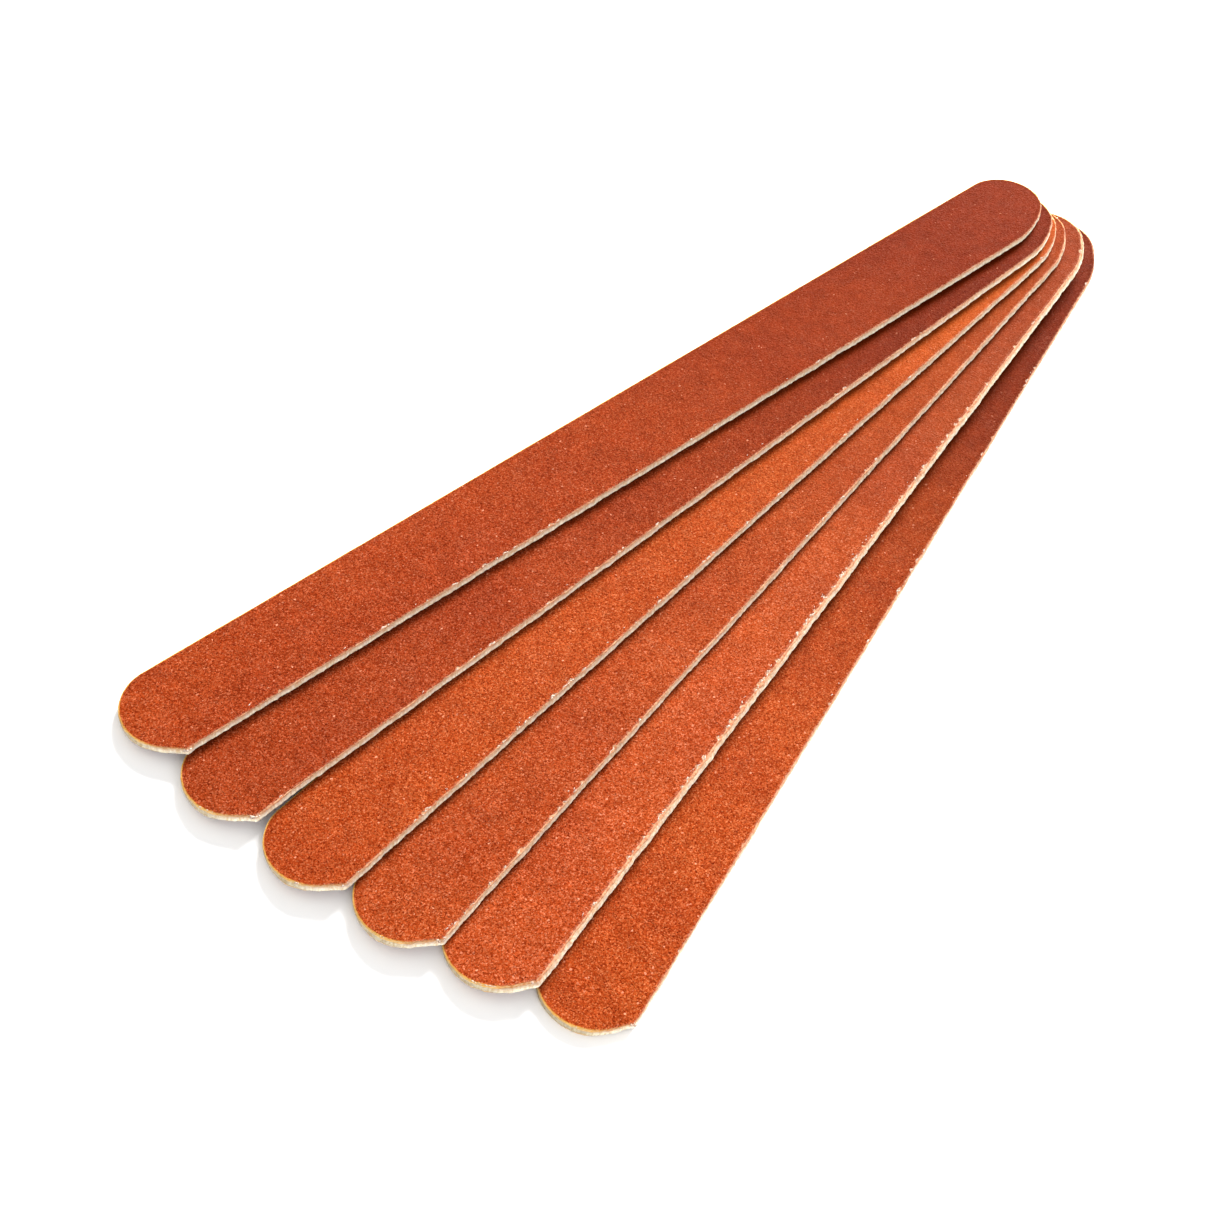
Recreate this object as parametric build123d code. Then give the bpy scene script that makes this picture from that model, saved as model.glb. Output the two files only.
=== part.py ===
"""Set of six loose double-sided sanding sticks, fanned out on a table top.

Each stick is a laminate: a paperboard core, and on each face a film of glue, a backing paper and
a coat of garnet grit. Stick 1 lies flat on the table. The other five lie on its left edge in
parallel planes, one on the next, and their free ends tip down to the table on the left.

Frame: the origin is at the middle of stick 1's underside, on the table. +Y runs along stick 1
towards the end where the fan is gathered, +X to its right and +Z up.
"""
import math
import os

from build123d import *

# ---- the stick ----
STICK_COUNT = 6
STICK_LENGTH = 177.8
STICK_WIDTH = 14.7

# ---- its layers ----
CORE_THICKNESS = 1.10
GLUE_THICKNESS = 0.05
PAPER_THICKNESS = 0.10
GRIT_THICKNESS = 0.10

# ---- its free end: one arc, set to the left of the centreline, then a straight cut that leaves
# the arc at the shoulder angle and meets the right side at a corner ----
FREE_ARC_RADIUS = 7.33
FREE_ARC_SHIFT = 0.12
FREE_SHOULDER_ANGLE = 45.0

# ---- its gathered end: an arc tangent to the left side, and a slanting cut to the right side ----
GATHERED_ARC_RADIUS = 6.5
GATHERED_CUT_ANGLE = 30.0

# ---- the rounding where the free arc meets the left side, and the cut meets the right side ----
FREE_CORNER_RADIUS = 6.0
CUT_CORNER_RADIUS = 18.0

# ---- the fan: how each stick lies on the one below it, for sticks 2 to 6 ----
TURNS = (3.6, 3.5, 4.4, 5.0, 3.8)
SHIFTS_LEFT = (7.24, 7.39, 7.46, 7.71, 7.90)
SLIPS_TO_FREE_END = (2.3, 2.1, 1.75, 0.9, 0.4)
STACK_GAP = 0.03
TABLE_GAP = 0.02

HALF_WIDTH = STICK_WIDTH / 2
HALF_LENGTH = STICK_LENGTH / 2
LAYERS = (
    ("bottom_grit", GRIT_THICKNESS),
    ("bottom_paper", PAPER_THICKNESS),
    ("bottom_glue", GLUE_THICKNESS),
    ("core", CORE_THICKNESS),
    ("top_glue", GLUE_THICKNESS),
    ("top_paper", PAPER_THICKNESS),
    ("top_grit", GRIT_THICKNESS),
)
STICK_THICKNESS = sum(thickness for name, thickness in LAYERS)
STACK_PITCH = STICK_THICKNESS + STACK_GAP


def stick_outline():
    """The outline of one stick: x to the right, y to the gathered end, centred on its length."""
    # Free end, from the left side round the tip, and straight on to the corner on the right side.
    free_centre = Vector(-FREE_ARC_SHIFT, FREE_ARC_RADIUS - HALF_LENGTH)
    reach = HALF_WIDTH - FREE_ARC_SHIFT
    free_left = free_centre + Vector(-reach, -math.sqrt(FREE_ARC_RADIUS**2 - reach**2))
    free_tip = free_centre - Vector(0, FREE_ARC_RADIUS)
    turn = math.radians(FREE_SHOULDER_ANGLE)
    free_right = free_centre + FREE_ARC_RADIUS * Vector(math.sin(turn), -math.cos(turn))
    shoulder = Vector(HALF_WIDTH, free_right.Y + (HALF_WIDTH - free_right.X) * math.tan(turn))

    # Gathered end, from the slanting cut on the right side round the tip to the left side.
    cut = math.radians(GATHERED_CUT_ANGLE)
    gathered_centre = Vector(GATHERED_ARC_RADIUS - HALF_WIDTH, HALF_LENGTH - GATHERED_ARC_RADIUS)
    cut_top = gathered_centre + GATHERED_ARC_RADIUS * Vector(math.cos(cut), math.sin(cut))
    cut_bottom = Vector(HALF_WIDTH, cut_top.Y - (HALF_WIDTH - cut_top.X) / math.tan(cut))
    gathered_tip = gathered_centre + Vector(0, GATHERED_ARC_RADIUS)
    gathered_left = gathered_centre - Vector(GATHERED_ARC_RADIUS, 0)

    edges = [
        ThreePointArc(free_left, free_tip, free_right),
        Line(free_right, shoulder),
        Line(shoulder, cut_bottom),
        Line(cut_bottom, cut_top),
        ThreePointArc(cut_top, gathered_tip, gathered_left),
        Line(gathered_left, free_left),
    ]
    outline = make_face(edges)
    for corner, radius in ((free_left, FREE_CORNER_RADIUS), (cut_bottom, CUT_CORNER_RADIUS)):
        nearest = min(outline.vertices(), key=lambda v: (Vector(v) - corner).length)
        outline = fillet(nearest, radius)
    return outline


def in_bundle_plane(number):
    """A stick's centre (x, y) and heading in the tilted plane it lies in.

    x is counted to the right from stick 1's left edge, y along it, and the heading is in degrees,
    negative when the stick is turned clockwise.
    """
    centre = Vector(HALF_WIDTH, 0)
    heading = 0.0
    for turn, shift, slip in list(zip(TURNS, SHIFTS_LEFT, SLIPS_TO_FREE_END))[: number - 1]:
        centre = centre + Vector(-shift, -slip).rotate(Axis.Z, heading - turn / 2)
        heading = heading - turn
    return centre, heading


def resting_tilt(number, outline):
    """The tilt of the bundle, in radians, that lays this stick's lowest point on the table."""
    centre, heading = in_bundle_plane(number)
    reach = -(Pos(centre.X, centre.Y) * Rot(0, 0, heading) * outline).bounding_box().min.X
    rise = STACK_GAP + (number - 2) * STACK_PITCH
    drop = STICK_THICKNESS - TABLE_GAP
    return math.atan2(rise, reach) + math.asin(drop / math.hypot(reach, rise))


def bundle_plane(tilt):
    """The plane through stick 1's left top edge on which the bundle of sticks 2 to 6 lies."""
    return Plane(
        origin=(-HALF_WIDTH, 0, STICK_THICKNESS),
        x_dir=(math.cos(tilt), 0, math.sin(tilt)),
        z_dir=(-math.sin(tilt), 0, math.cos(tilt)),
    )


def stick_place(number, bundle):
    """Where a stick's own frame, at the middle of its underside, lies in the fan."""
    if number == 1:
        return Location((0, 0, 0))
    centre, heading = in_bundle_plane(number)
    height = STACK_GAP + (number - 2) * STACK_PITCH
    return bundle.location * Pos(centre.X, centre.Y, height) * Rot(0, 0, heading)


def swivel_point(number, bundle):
    """The point about which a stick swivels from its place in the fan to a neat stack.

    It is the centre of the rotation that turns the stick by its turn and moves it by its shift
    and its slip at once. It lies beyond the gathered end, to the left.
    """
    turn, shift, slip = (values[number - 2] for values in (TURNS, SHIFTS_LEFT, SLIPS_TO_FREE_END))
    below, heading = in_bundle_plane(number - 1)
    middle = Vector(-shift, -slip) / 2
    arm = Vector(-slip, shift) / (2 * math.tan(math.radians(turn) / 2))
    point = below + (middle + arm).rotate(Axis.Z, heading - turn / 2)
    return (bundle.location * Pos(point.X, point.Y, 0)).position


def layers_of(outline):
    """Each layer of a stick as (name, solid), from the underside up, in the stick's own frame."""
    height = 0.0
    for name, thickness in LAYERS:
        yield name, extrude(Pos(0, 0, height) * outline, thickness)
        height += thickness


def main():
    os.makedirs("parts", exist_ok=True)
    outline = stick_outline()
    tilt = min(resting_tilt(number, outline) for number in range(2, STICK_COUNT + 1))
    bundle = bundle_plane(tilt)
    print(f"bundle tilt {math.degrees(tilt):.3f} degrees, axis {tuple(bundle.z_dir)}")
    for number in range(1, STICK_COUNT + 1):
        place = stick_place(number, bundle)
        for name, layer in layers_of(outline):
            solid = place * layer
            solid.label = f"stick_{number}_{name}"
            export_step(solid, f"parts/{solid.label}.step")
        if number > 1:
            point = swivel_point(number, bundle)
            print(f"stick_{number}_swivel at {tuple(point)}, 0 to {TURNS[number - 2]} degrees")


main()
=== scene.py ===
"""The looks of six fanned sanding sticks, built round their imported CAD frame.

Every layer of every stick is rebuilt as a detailed piece: the garnet coats as closed meshes of
jittered grains with a ragged, chipped rim, the board, sheets and glue as walls with a torn,
fibrous cut edge. Lengths inside the stick builders are in millimetres, in a stick's own frame:
x to the right, y to the gathered end, z up, from the middle of its underside.
"""
import math

import bpy
import numpy as np
from mathutils import Matrix, Vector
from mathutils.geometry import delaunay_2d_cdt


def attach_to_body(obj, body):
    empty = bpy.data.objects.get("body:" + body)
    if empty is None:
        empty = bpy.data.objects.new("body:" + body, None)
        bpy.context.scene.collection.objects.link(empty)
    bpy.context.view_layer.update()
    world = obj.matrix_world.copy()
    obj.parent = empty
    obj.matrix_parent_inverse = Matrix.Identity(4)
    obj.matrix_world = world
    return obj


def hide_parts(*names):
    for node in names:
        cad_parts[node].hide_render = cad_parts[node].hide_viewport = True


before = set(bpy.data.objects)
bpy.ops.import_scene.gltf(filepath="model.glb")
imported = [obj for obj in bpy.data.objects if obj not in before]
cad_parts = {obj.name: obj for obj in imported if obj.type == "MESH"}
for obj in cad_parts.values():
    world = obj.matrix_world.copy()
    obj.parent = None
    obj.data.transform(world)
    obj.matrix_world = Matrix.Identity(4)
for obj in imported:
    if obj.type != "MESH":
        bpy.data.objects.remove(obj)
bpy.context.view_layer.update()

MM = 0.001
HALF_LENGTH = 88.9
STICK_THICKNESS = 1.6
GLUE_THICKNESS = 0.05
STICKS = range(1, 7)
LAYERS = ("bottom_grit", "bottom_paper", "bottom_glue", "core", "top_glue", "top_paper", "top_grit")

# ---- the camera: a lens of 60 mm on a 36 mm sensor, looking down at the fan from its free end ----
CAMERA_AIM = Vector((-27.4, -28.9, 0.0)) * MM
CAMERA_AZIMUTH = math.radians(20.42)
CAMERA_ELEVATION = math.radians(52.02)
CAMERA_ROLL = math.radians(10.98)
CAMERA_DISTANCE = 287.9 * MM
CAMERA_LENS = 59.72
CAMERA_SENSOR = 36.0

# ---- the light: an even white surround, a key from behind the fan and a weak fill from in front,
# in watts ----
SURROUND_STRENGTH = 0.80
KEY_POWER = 112.0
FILL_POWER = 4.8

# ---- mesh detail: lengths in millimetres, and counts ----
STATION_STEP = 0.13
GRAIN_STEP_TOP = 0.20
GRAIN_STEP_BOTTOM = 0.34
RIM_WIDTH = 0.72
RIM_RINGS = 4
RIM_JITTER = 0.05
GRAIN_HEIGHT = 0.072
FIBRE_COUNT = 240
GLUE_INSET = 0.015
ARC_SEGMENT_LONGEST = 3.0
ARC_SEGMENT_SHORTEST = 0.15
ARC_ROUNDS = 3
# heights of the rows round the cut edge, from the lower sheet's underside to the upper one's top:
# one at each layer boundary, and the rest through the board
WALL_LEVELS = (0.0, 0.07, 0.11, 0.2, 0.3, 0.4, 0.5, 0.6, 0.7, 0.8, 0.89, 0.93, 1.0)


# ------------------------------------------------------------------------------------------------
# The camera
# ------------------------------------------------------------------------------------------------
def make_camera():
    data = bpy.data.cameras.new("camera")
    data.lens = CAMERA_LENS
    data.sensor_width = CAMERA_SENSOR
    data.clip_start = 0.01
    data.clip_end = 20.0
    camera = bpy.data.objects.new("camera", data)
    bpy.context.scene.collection.objects.link(camera)
    level = math.cos(CAMERA_ELEVATION)
    ahead = Vector(
        (
            -math.sin(CAMERA_AZIMUTH) * level,
            math.cos(CAMERA_AZIMUTH) * level,
            -math.sin(CAMERA_ELEVATION),
        )
    )
    turn = ahead.to_track_quat("-Z", "Y").to_matrix().to_4x4() @ Matrix.Rotation(CAMERA_ROLL, 4, "Z")
    camera.matrix_world = Matrix.Translation(CAMERA_AIM - ahead * CAMERA_DISTANCE) @ turn
    bpy.context.scene.camera = camera


# ------------------------------------------------------------------------------------------------
# What the frame says about each stick
# ------------------------------------------------------------------------------------------------
def node_points(node):
    """The points of a CAD node, in millimetres."""
    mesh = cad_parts[node].data
    points = np.empty(len(mesh.vertices) * 3, np.float64)
    mesh.vertices.foreach_get("co", points)
    return points.reshape(-1, 3) / MM


def stick_frame(number):
    """A stick's place: its axes and origin in the row frame, its outline and its layers' heights."""
    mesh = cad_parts[f"stick_{number}_core"].data
    biggest = max(mesh.polygons, key=lambda p: p.area)
    up = np.array(biggest.normal) * (1 if biggest.normal.z > 0 else -1)
    points = node_points(f"stick_{number}_core")
    height = points @ up
    low = np.unique(np.round(points[height < height.mean()], 4), axis=0)
    guess_y = np.array((0.0, 1.0, 0.0)) - up * up[1]
    guess_y /= np.linalg.norm(guess_y)
    guess_x = np.cross(guess_y, up)
    flat = np.stack((low @ guess_x, low @ guess_y), 1)
    middle = (flat.min(0) + flat.max(0)) / 2
    angle = np.arctan2(flat[:, 1] - middle[1], flat[:, 0] - middle[0])
    flat = flat[np.argsort(angle)]
    steps = np.roll(flat, -1, 0) - flat
    side = steps[np.argmax(np.linalg.norm(steps, axis=1))]
    side = side / np.linalg.norm(side) * np.sign(side[1])
    along = guess_x * side[0] + guess_y * side[1]
    across = np.cross(along, up)
    turned = np.stack((flat @ (side[1], -side[0]), flat @ side), 1)
    centre = (turned.min(0) + turned.max(0)) / 2
    base = (node_points(f"stick_{number}_bottom_grit") @ up).min()
    layers = {}
    for layer in LAYERS:
        heights = node_points(f"stick_{number}_{layer}") @ up - base
        layers[layer] = (heights.min(), heights.max())
    origin = across * centre[0] + along * centre[1] + up * base
    return {
        "axes": np.stack((across, along, up)),
        "origin": origin,
        "outline": turned - centre,
        "layers": layers,
    }


def to_row(points, place):
    """Points in a stick's millimetres, as metres in the row frame."""
    return (points @ place["axes"] + place["origin"]) * MM


# ------------------------------------------------------------------------------------------------
# The outline as evenly spaced stations
# ------------------------------------------------------------------------------------------------
def smooth_arcs(points):
    """Rounds an outline's short segments, which are chords of arcs, and leaves its long lines."""
    for _ in range(ARC_ROUNDS):
        made = []
        count = len(points)
        for i in range(count):
            a, b, c, d = (points[(i + k) % count] for k in (-1, 0, 1, 2))
            made.append(b)
            chord = np.linalg.norm(c - b)
            if not ARC_SEGMENT_SHORTEST <= chord <= ARC_SEGMENT_LONGEST:
                continue
            before = neighbour(b, a, c, chord)
            after = neighbour(c, d, b, chord)
            made.append((b + c) * 9 / 16 - (before + after) / 16)
        points = np.array(made)
    return points


def neighbour(corner, beyond, inner, chord):
    """The point one chord past a corner: the real one, one on the long line, or a mirrored one."""
    out = beyond - corner
    length = np.linalg.norm(out)
    bend = np.dot(out / length, (corner - inner) / chord)
    if bend < 0.85:
        return 2 * corner - inner
    return corner + out / length * chord if length > ARC_SEGMENT_LONGEST else beyond


def make_stations(outline):
    """Points round the outline at an even step, with outward normals and arc length."""
    loop = smooth_arcs(outline)
    closed = np.vstack((loop, loop[:1]))
    lengths = np.linalg.norm(np.diff(closed, axis=0), axis=1)
    at = np.concatenate(([0], np.cumsum(lengths)))
    count = int(round(at[-1] / STATION_STEP))
    s = np.arange(count) / count * at[-1]
    points = np.stack([np.interp(s, at, closed[:, k]) for k in (0, 1)], 1)
    tangent = np.roll(points, -2, 0) - np.roll(points, 2, 0)
    normal = np.stack((tangent[:, 1], -tangent[:, 0]), 1)
    normal /= np.linalg.norm(normal, axis=1)[:, None]
    return {"points": points, "normal": normal, "s": s, "length": at[-1], "count": count}


def smooth_loop(values, reach):
    """A running mean round a closed loop, over `reach` stations each way."""
    total = sum(np.roll(values, k, 0) for k in range(-reach, reach + 1))
    return total / (2 * reach + 1)


def loop_noise(rng, count, humps):
    """Smooth noise from -1 to 1 round a closed loop of stations."""
    knots = rng.uniform(-1, 1, humps)
    at = np.arange(count) / count * humps
    low = np.floor(at).astype(int)
    blend = at - low
    blend = blend * blend * (3 - 2 * blend)
    return knots[low % humps] * (1 - blend) + knots[(low + 1) % humps] * blend


# ------------------------------------------------------------------------------------------------
# Wear: how ragged each part of the rim is
# ------------------------------------------------------------------------------------------------
# for each stick: how far its right edge flares past its garnet and how far the corner beside its
# free end stands out of true, in mm, how many chips its right edge has, and the y in mm, along the
# stick, round which they crowd
WEAR = {
    1: {"flare": 0.10, "corner": -0.12, "chips": 16, "crowd": 0.0},
    2: {"flare": 0.40, "corner": -0.05, "chips": 84, "crowd": -15.0},
    3: {"flare": 0.12, "corner": 0.08, "chips": 26, "crowd": -50.0},
    4: {"flare": 0.06, "corner": 0.0, "chips": 38, "crowd": -45.0},
    5: {"flare": 0.05, "corner": 0.05, "chips": 18, "crowd": -20.0},
    6: {"flare": 0.0, "corner": 0.0, "chips": 24, "crowd": -30.0},
}


def ease(values):
    values = np.clip(values, 0, 1)
    return values * values * (3 - 2 * values)


def right_side(stations):
    """From 0 all round the rim to 1 on the right side, where the blade left the board."""
    return smooth_loop(ease((stations["normal"][:, 0] - 0.2) / 0.7), 6)


def ruggedness(stations):
    """From 0.3 on the clean left side to 1 on the right side."""
    return smooth_loop(0.3 + 0.7 * ease((stations["normal"][:, 0] + 1) / 2), 8)


def worn_stations(stations, number):
    """The stations of one stick, whose corner beside the free end is a little out of true."""
    s = stations["s"] - stations["s"][stations["corner"]]
    length = stations["length"]
    s = (s + length / 2) % length - length / 2
    hump = np.where(s < 0, np.exp(-((s / 2.2) ** 2)), np.exp(-((s / 1.8) ** 2)))
    bulge = WEAR[number]["corner"] * hump
    worn = dict(stations)
    worn["points"] = stations["points"] + stations["normal"] * bulge[:, None]
    return worn


def chip_depth(rng, stations, number):
    """How far the garnet coat has chipped back at each station, in mm."""
    wear = WEAR[number]
    points = stations["points"]
    right = np.flatnonzero(stations["normal"][:, 0] > 0.8)
    weight = np.exp(-(((points[right, 1] - wear["crowd"]) / 45.0) ** 2)) + 0.10
    depth = np.zeros(stations["count"])
    for centre in rng.choice(right, wear["chips"], p=weight / weight.sum()):
        half = rng.uniform(0.12, 0.6)
        deep = rng.uniform(0.08, 0.36) + 0.25 * wear["flare"]
        gap = np.abs(stations["s"] - stations["s"][centre])
        gap = np.minimum(gap, stations["length"] - gap)
        depth = np.maximum(depth, deep * np.clip(1.6 * (1 - gap / half), 0, 1))
    rugged = ruggedness(stations)
    ragged = rugged * (
        0.045 * (1 + loop_noise(rng, stations["count"], 1100))
        + 0.035 * (1 + loop_noise(rng, stations["count"], 420))
        + 0.030 * (1 + loop_noise(rng, stations["count"], 130))
    )
    clean = 0.09 * (1 - right_side(stations))
    return ragged + depth + clean


def wall_relief(rng, stations, number):
    """How far the cut edge stands proud at each layer boundary and board row, in mm.

    The rows go up from the underside of the lower sheet to the top of the upper one.
    """
    count = stations["count"]
    rugged = ruggedness(stations)
    side = right_side(stations)
    wave = 0.06 * loop_noise(rng, count, 80) + 0.05 * loop_noise(rng, count, 330)
    fibres = loop_noise(rng, count, 1400)
    relief = []
    for t in WALL_LEVELS:
        crush = 0.06 * loop_noise(rng, count, 700)
        crevice = (0.10 + 0.32 * side) * ease((0.30 - t) / 0.30)
        barrel = 0.02 - crevice - 0.03 * ease((t - 0.9) / 0.1)
        flare = WEAR[number]["flare"] * side * (1 - 0.55 * ease((t - 0.62) / 0.38))
        relief.append(rugged * (wave + crush + fibres * 0.03) + barrel + flare)
    return np.array(relief)


# ------------------------------------------------------------------------------------------------
# Mesh making
# ------------------------------------------------------------------------------------------------
def new_piece(name, points, faces, place, attributes=None, smooth=False):
    """A mesh object from points in a stick's millimetres and triangles or quads."""
    mesh = bpy.data.meshes.new(name)
    faces = [np.asarray(f, np.int32) for f in faces if len(f)]
    mesh.vertices.add(len(points))
    mesh.vertices.foreach_set("co", to_row(points, place).astype(np.float32).ravel())
    corners = np.concatenate([f.ravel() for f in faces])
    sizes = np.concatenate([np.full(len(f), f.shape[1], np.int32) for f in faces])
    mesh.loops.add(len(corners))
    mesh.loops.foreach_set("vertex_index", corners)
    mesh.polygons.add(len(sizes))
    starts = np.concatenate(([0], np.cumsum(sizes)[:-1])).astype(np.int32)
    mesh.polygons.foreach_set("loop_start", starts)
    mesh.update(calc_edges=True)
    mesh.polygons.foreach_set("use_smooth", np.full(len(sizes), smooth))
    for key, values in (attributes or {}).items():
        attribute = mesh.attributes.new(key, "FLOAT", "POINT")
        attribute.data.foreach_set("value", np.asarray(values, np.float32))
    mesh.validate()
    piece = bpy.data.objects.new(name, mesh)
    bpy.context.scene.collection.objects.link(piece)
    return piece


def ring_quads(count, rings, start=0):
    """Quads between consecutive rings of stations, facing outwards when they go from low to high."""
    i = np.arange(count)
    j = (i + 1) % count
    quads = []
    for k in range(rings - 1):
        a = start + k * count
        quads.append(np.stack((a + i, a + j, a + count + j, a + count + i), 1))
    return np.concatenate(quads)


def fill_loop(loop, inner=()):
    """Triangles, facing up, that fill an anticlockwise loop, with any inner points."""
    points = [Vector(p) for p in loop] + [Vector(p) for p in inner]
    edges = [(i, (i + 1) % len(loop)) for i in range(len(loop))]
    made, _, faces, original, _, _ = delaunay_2d_cdt(points, edges, [], 1, 1e-6)
    lookup = np.array([o[0] if o else -1 for o in original])
    faces = lookup[np.array([f for f in faces if len(f) == 3])]
    return faces[(faces >= 0).all(1)]


def grain_points(rng, loop, step):
    """Jittered points inside a loop, on a triangular lattice."""
    low, high = loop.min(0), loop.max(0)
    ys = np.arange(low[1], high[1], step * math.sqrt(3) / 2)
    xs = np.arange(low[0], high[0], step)
    grid = np.array([(x + step / 2 * (row % 2), y) for row, y in enumerate(ys) for x in xs])
    grid += rng.uniform(-0.3, 0.3, grid.shape) * step
    order = np.argsort(loop[:, 1])
    right = loop[order][loop[order, 0] > 0]
    left = loop[order][loop[order, 0] <= 0]
    margin = step * 0.45
    x_right = np.interp(grid[:, 1], right[:, 1], right[:, 0]) - margin
    x_left = np.interp(grid[:, 1], left[:, 1], left[:, 0]) + margin
    inside = (grid[:, 0] < x_right) & (grid[:, 0] > x_left)
    inside &= (grid[:, 1] > low[1] + margin) & (grid[:, 1] < high[1] - margin)
    return grid[inside]


def make_inner_face(stations, step, seed):
    """The part of a coat's face inside its rim: its loop, its inner points and their triangles."""
    rng = np.random.default_rng(seed)
    soft = smooth_loop(stations["normal"], 9)
    soft /= np.linalg.norm(soft, axis=1)[:, None]
    loop = stations["points"] - soft * RIM_WIDTH
    inner = grain_points(rng, loop, step)
    return {"loop": loop, "inner": inner, "triangles": fill_loop(loop, inner)}


def coat(name, stations, face, chips, heights, up, place, rng):
    """A garnet coat: a grainy face with a chipped rim, a broken side and a flat back.

    heights is (back, face) in mm, and up is 1 for the upper coat and -1 for the lower one.
    """
    count = stations["count"]
    rim = stations["points"] - stations["normal"] * chips[:, None]
    back, top = heights
    rings = [face["loop"]]
    away = [np.full(count, RIM_WIDTH)]
    for k in range(1, RIM_RINGS + 1):
        t = k / RIM_RINGS
        ring = face["loop"] * (1 - t) + rim * t
        if k < RIM_RINGS:
            ring = ring + rng.uniform(-RIM_JITTER, RIM_JITTER, ring.shape)
        rings.append(ring)
        away.append(np.full(count, RIM_WIDTH * (1 - t)))
    flat = np.vstack(rings + [face["inner"]])
    away = np.concatenate(away + [np.full(len(face["inner"]), 1.0)])
    sink = GRAIN_HEIGHT * rng.power(1.6, len(flat)) + 0.02 * np.clip(1 - away / 0.2, 0, 1)
    points = np.column_stack((flat, top - up * sink))
    rim_start = RIM_RINGS * count
    skirt_start = len(points)
    points = np.vstack((points, np.column_stack((rim, np.full(count, back)))))
    away = np.concatenate((away, np.zeros(count)))
    inner_start = len(rings) * count
    index = np.concatenate((np.arange(count), np.arange(len(face["inner"])) + inner_start))
    i = np.arange(count)
    j = (i + 1) % count
    faces = [
        index[face["triangles"]],
        split_quads(ring_quads(count, len(rings)), rng),
        np.stack((skirt_start + i, skirt_start + j, rim_start + j, rim_start + i), 1),
        fill_loop(rim)[:, ::-1] + skirt_start,
    ]
    faces[1] = faces[1][:, ::-1]
    if up < 0:
        faces = [f[:, ::-1] for f in faces]
    side = right_side(stations)
    right = np.concatenate([side] * len(rings) + [np.zeros(len(face["inner"])), side])
    return new_piece(name, points, faces, place, {"rim": away, "right": right})


def split_quads(quads, rng):
    """Triangles from quads, each split along a random diagonal."""
    flip = rng.random(len(quads)) < 0.5
    a, b, c, d = quads.T
    one = np.where(flip[:, None], np.stack((a, b, d), 1), np.stack((a, b, c), 1))
    two = np.where(flip[:, None], np.stack((b, c, d), 1), np.stack((a, c, d), 1))
    return np.concatenate((one, two))


def slab(name, stations, relief, heights, place, extra=None):
    """A layer with a rough cut edge: relief and heights give one row of stations for each level.

    extra is (points, faces, torn) of small closed bits that belong to the same piece.
    """
    count = stations["count"]
    points = []
    for row, height in zip(relief, heights):
        ring = stations["points"] + stations["normal"] * row[:, None]
        points.append(np.column_stack((ring, np.full(count, height))))
    last = (len(heights) - 1) * count
    top = fill_loop(points[-1][:, :2]) + last
    bottom = fill_loop(points[0][:, :2])[:, ::-1]
    faces = [ring_quads(count, len(heights)), top, bottom]
    right = np.tile(right_side(stations), len(heights))
    points = np.vstack(points)
    torn = np.zeros(len(points))
    if extra is not None:
        more_points, more_faces, more_torn = extra
        faces.append(more_faces + len(points))
        points = np.vstack((points, more_points))
        torn = np.concatenate((torn, np.full(len(more_points), more_torn)))
        right = np.concatenate((right, np.ones(len(more_points))))
    values = {"height": points[:, 2], "torn": torn, "right": right}
    return new_piece(name, points, faces, place, values, smooth=True)


# ------------------------------------------------------------------------------------------------
# Torn bits: fibres on the cut edge and tufts of backing paper where the garnet has chipped
# ------------------------------------------------------------------------------------------------
def fibres(rng, stations, low, high):
    """Thin tapered fibres that stand out of the cut edge, as three-sided spikes."""
    right = ruggedness(stations) ** 3
    picks = rng.choice(stations["count"], FIBRE_COUNT, p=right / right.sum())
    points, faces = [], []
    for pick in picks:
        root = np.append(stations["points"][pick], rng.uniform(low + 0.1, high - 0.1))
        out = np.append(stations["normal"][pick], rng.uniform(-0.5, 0.3))
        along = np.append((-stations["normal"][pick][1], stations["normal"][pick][0]), 0.0)
        lean = out + along * rng.uniform(-1.6, 1.6)
        lean /= np.linalg.norm(lean)
        length = rng.uniform(0.08, 0.30)
        thick = rng.uniform(0.012, 0.03)
        bend = np.array((0, 0, rng.uniform(-0.25, 0.1))) * length
        side = np.cross(lean, (0, 0, 1.0))
        side /= np.linalg.norm(side)
        over = np.cross(lean, side)
        start = len(points)
        root = root - np.append(stations["normal"][pick], 0) * 0.06
        for t, width in ((0.0, 1.0), (0.6, 0.75)):
            middle = root + lean * length * t + bend * t * t
            for turn in (0, 120, 240):
                a = math.radians(turn)
                points.append(middle + (side * math.cos(a) + over * math.sin(a)) * thick * width)
        points.append(root + lean * length + bend)
        for k in range(3):
            m = (k + 1) % 3
            faces.append((start + k, start + 3 + m, start + m))
            faces.append((start + k, start + 3 + k, start + 3 + m))
            faces.append((start + 3 + k, start + 6, start + 3 + m))
        faces.append((start, start + 1, start + 2))
    return np.array(points), np.array(faces), 0.0


def lump(rng, centre, size, normal):
    """A small torn tuft, longer along the edge: an uneven, squashed eight-sided double pyramid."""
    corners = np.array(((1, 0, 0), (0, 1, 0), (-1, 0, 0), (0, -1, 0), (0, 0, 1), (0, 0, -1)), float)
    around = np.array(((1, 1, 0), (-1, 1, 0), (-1, -1, 0), (1, -1, 0)), float) / math.sqrt(2)
    points = np.vstack((corners, around)) * rng.uniform(0.6, 1.15, (10, 1)) * size
    rim = (0, 6, 1, 7, 2, 8, 3, 9)
    faces = []
    for k in range(8):
        a, b = rim[k], rim[(k + 1) % 8]
        faces.append((a, b, 4))
        faces.append((b, a, 5))
    turn = math.atan2(normal[0], -normal[1]) + rng.uniform(-0.5, 0.5)
    c, s = math.cos(turn), math.sin(turn)
    points = points @ np.array(((c, s, 0), (-s, c, 0), (0, 0, 1)))
    return points + centre, np.array(faces)


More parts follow.
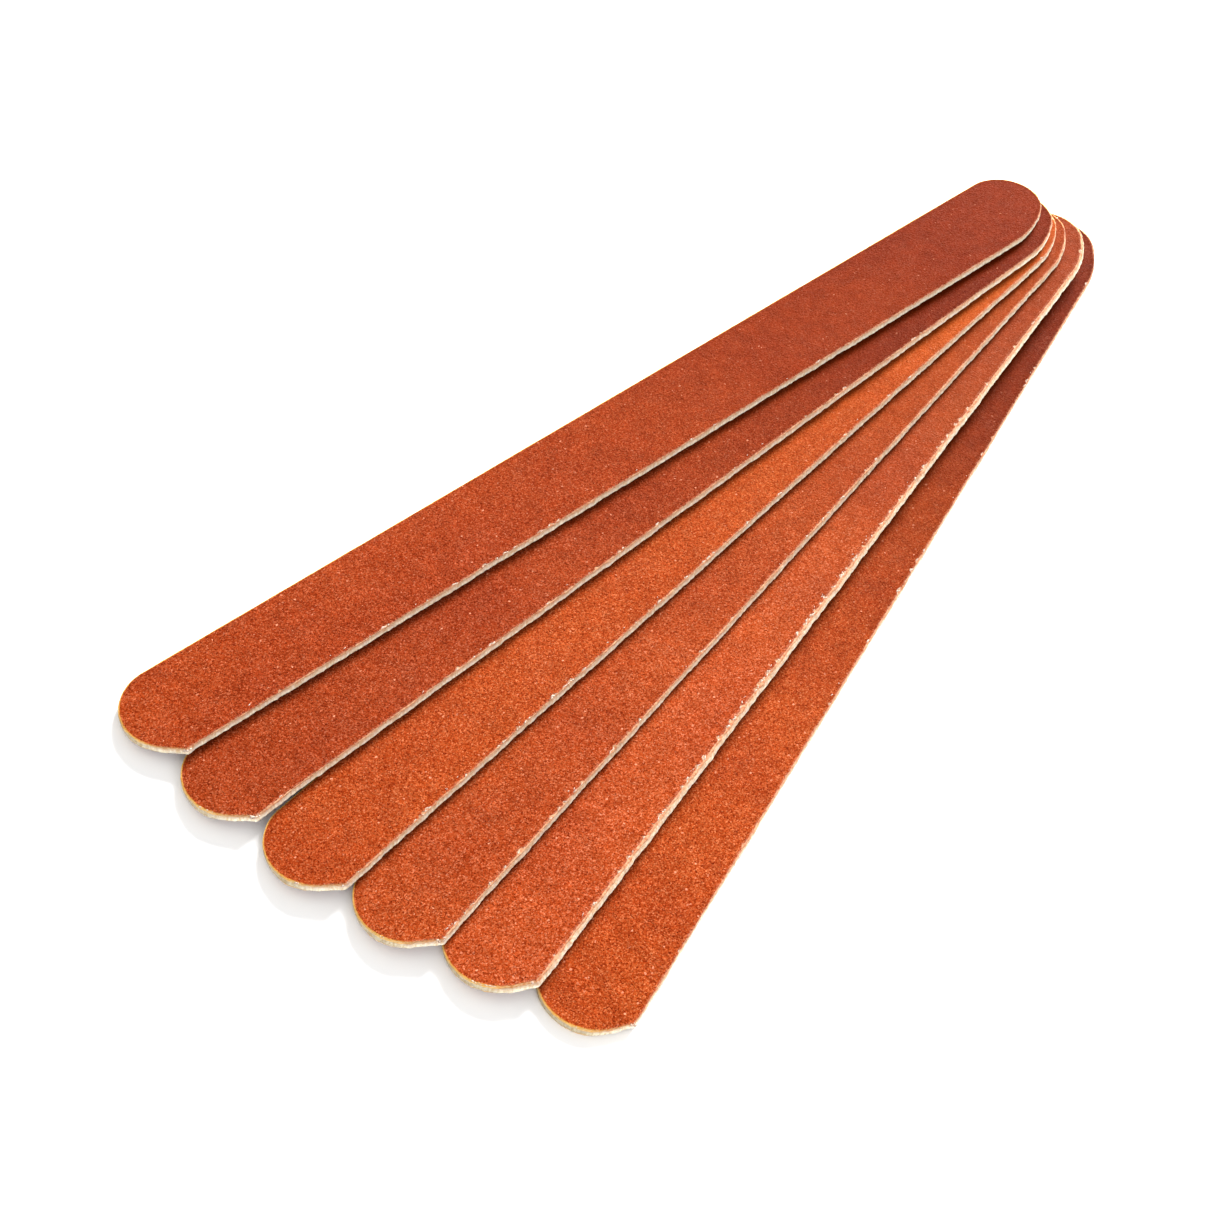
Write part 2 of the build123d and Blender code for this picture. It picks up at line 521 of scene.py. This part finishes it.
def tufts(rng, stations, chips, top, number):
    """White tufts of torn paper: in the chips, at the corner by the free end, and stray flecks."""
    places = []
    deep = np.flatnonzero(chips > 0.2)
    for spot in rng.choice(deep, min(len(deep), 2 * WEAR[number]["chips"]), replace=False):
        size = (rng.uniform(0.10, 0.45), rng.uniform(0.04, 0.12), rng.uniform(0.03, 0.06))
        places.append((spot, rng.uniform(0.2, 0.95) * chips[spot], top + 0.02, size))
    right = np.flatnonzero(stations["normal"][:, 0] > 0.9)
    crowd = np.exp(-(((stations["points"][right, 1] - WEAR[number]["crowd"]) / 40.0) ** 2))
    for spot in rng.choice(right, 2 + WEAR[number]["chips"] // 5, p=crowd / crowd.sum()):
        size = (rng.uniform(0.08, 0.30), rng.uniform(0.04, 0.09), 0.04)
        places.append((spot, rng.uniform(0.35, 0.9), top + 0.07, size))
    for _ in range(12):
        spot = stations["corner"] + rng.integers(-4, 5)
        size = rng.uniform(0.12, 0.34, 3) * (1, 0.8, 0.45)
        places.append((spot, rng.uniform(-0.16, 0.1), top - rng.uniform(0.0, 0.3), size))
    points, faces, total = [], [], 0
    for spot, inward, height, size in places:
        at = stations["points"][spot] - stations["normal"][spot] * inward
        bit, bit_faces = lump(rng, np.append(at, height), size, stations["normal"][spot])
        points.append(bit)
        faces.append(bit_faces + total)
        total += len(bit)
    return np.vstack(points), np.concatenate(faces), 1.0


# ------------------------------------------------------------------------------------------------
# Materials
# ------------------------------------------------------------------------------------------------
class Nodes:
    """A small helper that adds and links shader nodes."""

    def __init__(self, name):
        self.material = bpy.data.materials.new(name)
        self.material.use_nodes = True
        self.tree = self.material.node_tree
        self.tree.nodes.clear()
        self.output = self.add("ShaderNodeOutputMaterial")
        self.shader = self.add("ShaderNodeBsdfPrincipled")
        self.link(self.shader.outputs["BSDF"], self.output.inputs["Surface"])
        self.coordinates = self.add("ShaderNodeTexCoord").outputs["Object"]

    def add(self, kind, **values):
        node = self.tree.nodes.new(kind)
        for key, value in values.items():
            setattr(node, key, value)
        return node

    def link(self, a, b):
        self.tree.links.new(a, b)

    def give(self, socket, value):
        """Sets a socket to a plain value, or links another socket to it."""
        if isinstance(value, bpy.types.NodeSocket):
            self.link(value, socket)
        else:
            socket.default_value = value

    def mapped(self, scale=(1, 1, 1), shift=(0, 0, 0)):
        node = self.add("ShaderNodeMapping")
        self.link(self.coordinates, node.inputs["Vector"])
        node.inputs["Scale"].default_value = scale
        node.inputs["Location"].default_value = shift
        return node.outputs["Vector"]

    def noise(self, size, detail=2.0, rough=0.5, vector=None):
        """Noise from 0 to 1 with features about `size` mm across."""
        node = self.add("ShaderNodeTexNoise")
        self.link(vector or self.coordinates, node.inputs["Vector"])
        node.inputs["Scale"].default_value = 1 / (size * MM)
        node.inputs["Detail"].default_value = detail
        node.inputs["Roughness"].default_value = rough
        return node.outputs["Fac"]

    def cells(self, size, vector=None):
        """Voronoi cells about `size` mm across: their distance and their random colour."""
        node = self.add("ShaderNodeTexVoronoi")
        self.link(vector or self.coordinates, node.inputs["Vector"])
        node.inputs["Scale"].default_value = 1 / (size * MM)
        return node.outputs["Distance"], node.outputs["Color"]

    def ramp(self, value, *stops):
        """A straight ramp through (value, grey or colour) stops."""
        node = self.add("ShaderNodeValToRGB")
        self.link(value, node.inputs["Fac"])
        elements = node.color_ramp.elements
        while len(elements) < len(stops):
            elements.new(0.5)
        for element, (at, colour) in zip(elements, stops):
            element.position = at
            element.color = (*colour, 1) if hasattr(colour, "__len__") else (colour,) * 3 + (1,)
        return node.outputs["Color"]

    def mix(self, fac, a, b, blend="MIX"):
        """Colour a, and colour b where the factor is 1."""
        node = self.add("ShaderNodeMix", data_type="RGBA", blend_type=blend)
        self.give(node.inputs["Factor"], fac)
        self.give(node.inputs[6], a if isinstance(a, bpy.types.NodeSocket) else (*a, 1))
        self.give(node.inputs[7], b if isinstance(b, bpy.types.NodeSocket) else (*b, 1))
        return node.outputs[2]

    def math(self, operation, a, b):
        node = self.add("ShaderNodeMath", operation=operation)
        self.give(node.inputs[0], a)
        self.give(node.inputs[1], b)
        return node.outputs[0]

    def attribute(self, name):
        """A value that the mesh carries at its points."""
        return self.add("ShaderNodeAttribute", attribute_name=name).outputs["Fac"]

    def height(self):
        """The height in the stick, from 0 at its underside to 1 at its top."""
        return self.math("MULTIPLY", self.attribute("height"), 1 / STICK_THICKNESS)

    def bump(self, height, distance, strength, normal=None):
        """A normal bent by `height`, whose full range stands `distance` mm high."""
        node = self.add("ShaderNodeBump")
        self.link(height, node.inputs["Height"])
        node.inputs["Distance"].default_value = distance * MM
        node.inputs["Strength"].default_value = strength
        if normal is not None:
            self.link(normal, node.inputs["Normal"])
        return node.outputs["Normal"]


# each stick's garnet at its free end and at its gathered end, as linear red, green and blue,
# partly its own tone and partly painted shade: the gathered ends of sticks 1, 5 and 6 are darkened
GARNET_WITH_PAINTED_SHADE = {
    1: ((0.225, 0.035, 0.006), (0.087, 0.0085, 0.0005)),
    2: ((0.240, 0.039, 0.0085), (0.155, 0.024, 0.005)),
    3: ((0.215, 0.034, 0.007), (0.175, 0.027, 0.004)),
    4: ((0.215, 0.033, 0.006), (0.240, 0.040, 0.005)),
    5: ((0.178, 0.0255, 0.0055), (0.090, 0.0085, 0.0005)),
    6: ((0.192, 0.0275, 0.0055), (0.120, 0.013, 0.0015)),
}


def garnet_material(number):
    """Garnet grains in resin: speckled, sparkling partly with painted glints, faintly clouded, with a
    painted warm rim highlight.
    """
    n = Nodes(f"garnet_{number}")
    place = n.mapped(shift=(0.31 * number, 0.17 * number, 0.0))
    mottle = n.ramp(n.noise(24, 2, 0.5, place), (0.35, (0.93, 0.88, 0.90)), (0.65, (1.06, 1.10, 1.05)))
    free, gathered = GARNET_WITH_PAINTED_SHADE[number]
    along = n.add("ShaderNodeSeparateXYZ")
    end_to_end = n.mapped(scale=(1, 0.5 / (HALF_LENGTH * MM), 1), shift=(0, 0.5, 0))
    n.link(end_to_end, along.inputs["Vector"])
    # the colour runs from the free end's to the gathered end's; on sticks 1, 5 and 6 that is painted
    # shade
    base = n.mix(n.ramp(along.outputs["Y"], (0.30, 0.0), (0.80, 1.0)), free, gathered)
    base = n.mix(1.0, base, mottle, "MULTIPLY")
    cloud = n.ramp(n.noise(2.4, 3, 0.6, place), (0.3, 0.88), (0.7, 1.12))
    base = n.mix(1.0, base, cloud, "MULTIPLY")
    distance, random = n.cells(0.17, place)
    # the grains' own darker and lighter tones; the whitish top of this ramp is painted sparkle
    grain_tone_and_painted_sparkle = n.ramp(
        random,
        (0.08, (0.46, 0.24, 0.08)),
        (0.30, (0.76, 0.55, 0.32)),
        (0.52, (0.98, 0.90, 0.78)),
        (0.75, (1.20, 1.55, 2.3)),
        (0.94, (1.6, 2.9, 6.5)),
    )
    contrast = n.ramp(along.outputs["Y"], (0.16, 1.0), (0.44, 0.84), (0.67, 0.45), (0.87, 0.36))
    colour = n.mix(contrast, base, grain_tone_and_painted_sparkle, "MULTIPLY")
    fine = n.ramp(n.cells(0.11, place)[1], (0.0, 0.70), (1.0, 1.30))
    colour = n.mix(contrast, colour, fine, "MULTIPLY")
    # painted glints: sparse pinkish-white grains stand in for highlights off the grain facets
    painted_glint_place = n.mapped(shift=(0.07, 0.13 * number, 0.02))
    painted_glint = n.ramp(n.cells(0.24, painted_glint_place)[1], (0.92, 0.0), (0.97, 0.8))
    painted_glint = n.math("MULTIPLY", painted_glint, contrast)
    colour = n.mix(painted_glint, colour, (0.53, 0.21, 0.12))
    dust = n.ramp(n.noise(5.5, 3, 0.6, place), (0.52, 0.0), (0.75, 0.30))
    specks = n.ramp(n.noise(0.32, 2, 0.6, place), (0.50, 0.0), (0.72, 1.0))
    colour = n.mix(n.math("MULTIPLY", dust, specks), colour, (0.27, 0.088, 0.049))
    rim = n.attribute("rim")
    right = n.attribute("right")
    left = n.math("SUBTRACT", 1.0, right)
    # painted rim highlight: a warm lighter band along the rim, on all but the right side
    painted_rim_highlight = n.math("MULTIPLY", n.ramp(rim, (0.02, 0.9), (0.16, 0.0)), left)
    colour = n.mix(painted_rim_highlight, colour, (0.51, 0.24, 0.044))
    bruise_reach = 0.25 + 0.6 * WEAR[number]["flare"]
    bruise = n.math("MULTIPLY", n.ramp(rim, (0.02, 0.7), (bruise_reach, 0.0)), right)
    bruise = n.math("MULTIPLY", bruise, n.ramp(n.noise(0.28, 2, 0.6), (0.42, 0.0), (0.62, 1.0)))
    colour = n.mix(bruise, colour, (0.32, 0.14, 0.088))
    n.link(colour, n.shader.inputs["Base Color"])
    n.link(n.ramp(random, (0.0, 0.75), (0.7, 0.55), (1.0, 0.30)), n.shader.inputs["Roughness"])
    n.shader.inputs["Specular IOR Level"].default_value = 0.02
    n.shader.inputs["Specular Tint"].default_value = (1.0, 0.55, 0.38, 1)
    normal = n.bump(n.ramp(distance, (0.0, 1.0), (0.8, 0.0)), 0.05, 0.8)
    normal = n.bump(n.noise(0.12, 2, 0.7, place), 0.03, 0.7, normal)
    n.link(normal, n.shader.inputs["Normal"])
    return n.material


def board_material():
    """Cream paperboard, cut: striations through its thickness, plies, specks, garnet dust and painted
    shade.
    """
    n = Nodes("cut_board")
    streaks = n.noise(0.34, 3, 0.6, n.mapped(scale=(1, 1, 0.25)))
    colour = n.mix(n.ramp(streaks, (0.42, 0.0), (0.60, 1.0)), (0.76, 0.73, 0.58), (0.55, 0.45, 0.29))
    plies = n.noise(0.30, 2, 0.5, n.mapped(scale=(0.05, 0.05, 1)))
    colour = n.mix(n.ramp(plies, (0.52, 0.0), (0.66, 0.35)), colour, (0.39, 0.30, 0.19))
    pale = n.ramp(n.noise(0.8, 3, 0.6), (0.48, 0.0), (0.62, 0.8))
    colour = n.mix(pale, colour, (0.60, 0.56, 0.48))
    height = n.height()
    right = n.attribute("right")
    wander = n.math("MULTIPLY", n.math("SUBTRACT", n.noise(0.35, 3, 0.6), 0.5), 0.45)
    uneven = n.math("ADD", height, wander)
    smear = n.math("MULTIPLY", n.ramp(uneven, (0.45, 0.0), (0.96, 0.95)), right)
    colour = n.mix(smear, colour, (0.38, 0.16, 0.066))
    # painted shade: the foot of the right-side wall is darkened where the crevice under the stick lies
    # in shade
    painted_crevice_shade = n.math("MULTIPLY", n.ramp(height, (0.20, 1.0), (0.31, 0.0)), right)
    colour = n.mix(painted_crevice_shade, colour, (0.05, 0.012, 0.006))
    # painted shade: the walls on all but the right side are darkened
    clean = n.math("SUBTRACT", 1.0, right)
    colour = n.mix(clean, colour, n.mix(1.0, colour, (0.56, 0.50, 0.43), "MULTIPLY"))
    ends = n.ramp(height, (0.16, 1.0), (0.30, 0.0), (0.74, 0.0), (0.85, 0.8))
    dust = n.math("MULTIPLY", ends, n.ramp(n.noise(0.28, 3, 0.7), (0.50, 0.0), (0.64, 0.5)))
    colour = n.mix(dust, colour, (0.37, 0.17, 0.080))
    n.link(colour, n.shader.inputs["Base Color"])
    n.link(n.ramp(streaks, (0.3, 0.95), (0.7, 0.8)), n.shader.inputs["Roughness"])
    n.shader.inputs["Specular IOR Level"].default_value = 0.2
    normal = n.bump(streaks, 0.08, 0.7)
    n.link(n.bump(n.noise(0.10, 3, 0.7), 0.04, 0.6, normal), n.shader.inputs["Normal"])
    return n.material


def sheet_material():
    """Backing paper: resin-stained on the clean side, pinkish and fuzzy on the right, torn white, with
    painted crevice shade low on the right.
    """
    n = Nodes("backing_sheet")
    uneven = n.ramp(n.noise(0.4, 3, 0.6), (0.35, 0.0), (0.65, 1.0))
    stained = n.mix(uneven, (0.64, 0.34, 0.080), (0.64, 0.44, 0.19))
    fuzzy = n.mix(uneven, (0.31, 0.097, 0.040), (0.44, 0.25, 0.14))
    # painted shade: the fuzzy right edge of the lower sheet is darkened where the crevice lies in
    # shade
    painted_crevice_shade = n.ramp(n.height(), (0.3, 1.0), (0.5, 0.0))
    fuzzy = n.mix(painted_crevice_shade, fuzzy, (0.05, 0.012, 0.006))
    colour = n.mix(n.attribute("right"), stained, fuzzy)
    frayed = n.ramp(n.noise(0.2, 2, 0.6), (0.4, 0.0), (0.7, 1.0))
    torn = n.mix(frayed, (0.41, 0.27, 0.20), (0.55, 0.49, 0.42))
    colour = n.mix(n.attribute("torn"), colour, torn)
    n.link(colour, n.shader.inputs["Base Color"])
    n.link(n.ramp(n.noise(0.3, 2, 0.5), (0.3, 0.95), (0.7, 0.75)), n.shader.inputs["Roughness"])
    n.shader.inputs["Specular IOR Level"].default_value = 0.2
    n.link(n.bump(n.noise(0.12, 3, 0.7), 0.03, 0.6), n.shader.inputs["Normal"])
    return n.material


def glue_material():
    """The dried glue line: amber, a little glossy, uneven."""
    n = Nodes("glue_line")
    uneven = n.noise(0.5, 3, 0.6)
    colour = n.mix(n.ramp(uneven, (0.35, 0.0), (0.65, 1.0)), (0.42, 0.30, 0.17), (0.53, 0.44, 0.31))
    n.link(colour, n.shader.inputs["Base Color"])
    n.link(n.ramp(uneven, (0.3, 0.45), (0.7, 0.7)), n.shader.inputs["Roughness"])
    n.link(n.bump(n.noise(0.15, 2, 0.6), 0.02, 0.5), n.shader.inputs["Normal"])
    return n.material


# ------------------------------------------------------------------------------------------------
# The sticks
# ------------------------------------------------------------------------------------------------
def attach(piece, number, layer, material):
    """Gives a piece its material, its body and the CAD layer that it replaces."""
    piece.data.materials.append(material)
    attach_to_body(piece, f"stick_{number}")
    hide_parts(f"stick_{number}_{layer}")


def make_stick(number, stations, faces, materials):
    """The seven layers of one stick, where the frame has them."""
    place = stick_frame(number)
    rng = np.random.default_rng(1000 + number)
    layers = place["layers"]
    stations = worn_stations(stations, number)
    relief = wall_relief(rng, stations, number)
    low, high = layers["bottom_paper"][0], layers["top_paper"][1]
    heights = low + np.array(WALL_LEVELS) * (high - low)
    heights[1:3] = layers["core"][0] - GLUE_THICKNESS, layers["core"][0]
    heights[-3:-1] = layers["core"][1], layers["core"][1] + GLUE_THICKNESS
    chips = {end: chip_depth(rng, stations, number) for end in ("top", "bottom")}
    # the lower coat stops short of the cut edge, most of all on the right side
    chips["bottom"] = chips["bottom"] + 0.10 + 0.30 * right_side(stations)
    rows = {
        "bottom_paper": slice(0, 2),
        "bottom_glue": slice(1, 3),
        "core": slice(2, -2),
        "top_glue": slice(-3, -1),
        "top_paper": slice(-2, None),
    }
    extras = {
        "core": fibres(rng, stations, *layers["core"]),
        "top_paper": tufts(rng, stations, chips["top"], high, number),
    }
    # each layer's piece name, material, slot and how far its edge is set in
    looks = {
        "bottom_paper": ("bottom_sheet", "sheet", "backing_paper", 0.0),
        "bottom_glue": ("bottom_glue_line", "glue", "glue", GLUE_INSET),
        "core": ("board", "board", "board", 0.0),
        "top_glue": ("top_glue_line", "glue", "glue", GLUE_INSET),
        "top_paper": ("top_sheet", "sheet", "backing_paper", 0.0),
    }
    for layer, (name, material, slot, inset) in looks.items():
        piece = slab(
            f"stick_{number}_{name}",
            stations,
            relief[rows[layer]] - inset,
            heights[rows[layer]],
            place,
            extras.get(layer),
        )
        attach(piece, number, layer, materials[material])
    for end, up in (("top", 1), ("bottom", -1)):
        garnet = coat(
            f"stick_{number}_{end}_garnet",
            stations,
            faces[end],
            chips[end],
            layers[f"{end}_grit"][::up],
            up,
            place,
            rng,
        )
        attach(garnet, number, f"{end}_grit", materials[number])


def make_sticks():
    stations = make_stations(stick_frame(1)["outline"])
    lean = stations["normal"] @ (0.87, -0.5)
    stations["corner"] = int(np.argmax(np.where(stations["points"][:, 1] < 0, lean, -1)))
    faces = {
        "top": make_inner_face(stations, GRAIN_STEP_TOP, 11),
        "bottom": make_inner_face(stations, GRAIN_STEP_BOTTOM, 12),
    }
    materials = {number: garnet_material(number) for number in STICKS}
    materials["board"] = board_material()
    materials["sheet"] = sheet_material()
    materials["glue"] = glue_material()
    for number in STICKS:
        make_stick(number, stations, faces, materials)


# ------------------------------------------------------------------------------------------------
# The studio
# ------------------------------------------------------------------------------------------------
def make_floor():
    mesh = bpy.data.meshes.new("floor")
    half = 3.0
    corners = [(-half, -half, 0), (half, -half, 0), (half, half, 0), (-half, half, 0)]
    mesh.from_pydata(corners, [], [(0, 1, 2, 3)])
    floor = bpy.data.objects.new("floor", mesh)
    bpy.context.scene.collection.objects.link(floor)
    n = Nodes("white_floor")
    n.shader.inputs["Base Color"].default_value = (0.96, 0.96, 0.96, 1)
    n.shader.inputs["Roughness"].default_value = 0.8
    n.shader.inputs["Specular IOR Level"].default_value = 0.1
    mesh.materials.append(n.material)


def area_light(name, at, aim, size, power):
    data = bpy.data.lights.new(name, "AREA")
    data.shape = "SQUARE"
    data.size = size
    data.energy = power
    light = bpy.data.objects.new(name, data)
    light.location = at
    light.rotation_euler = (Vector(aim) - Vector(at)).to_track_quat("-Z", "Y").to_euler()
    bpy.context.scene.collection.objects.link(light)


def make_lights():
    world = bpy.data.worlds.new("studio")
    world.use_nodes = True
    world.node_tree.nodes["Background"].inputs["Color"].default_value = (1, 1, 1, 1)
    world.node_tree.nodes["Background"].inputs["Strength"].default_value = SURROUND_STRENGTH
    bpy.context.scene.world = world
    area_light("key", (-0.15, 1.35, 0.85), (-0.03, 0.0, 0.0), 0.66, KEY_POWER)
    area_light("low_fill", (0.52, -0.58, 0.22), (-0.03, -0.02, 0.0), 0.45, FILL_POWER)
    bpy.context.scene.view_settings.view_transform = "Standard"


make_camera()
make_sticks()
make_floor()
make_lights()
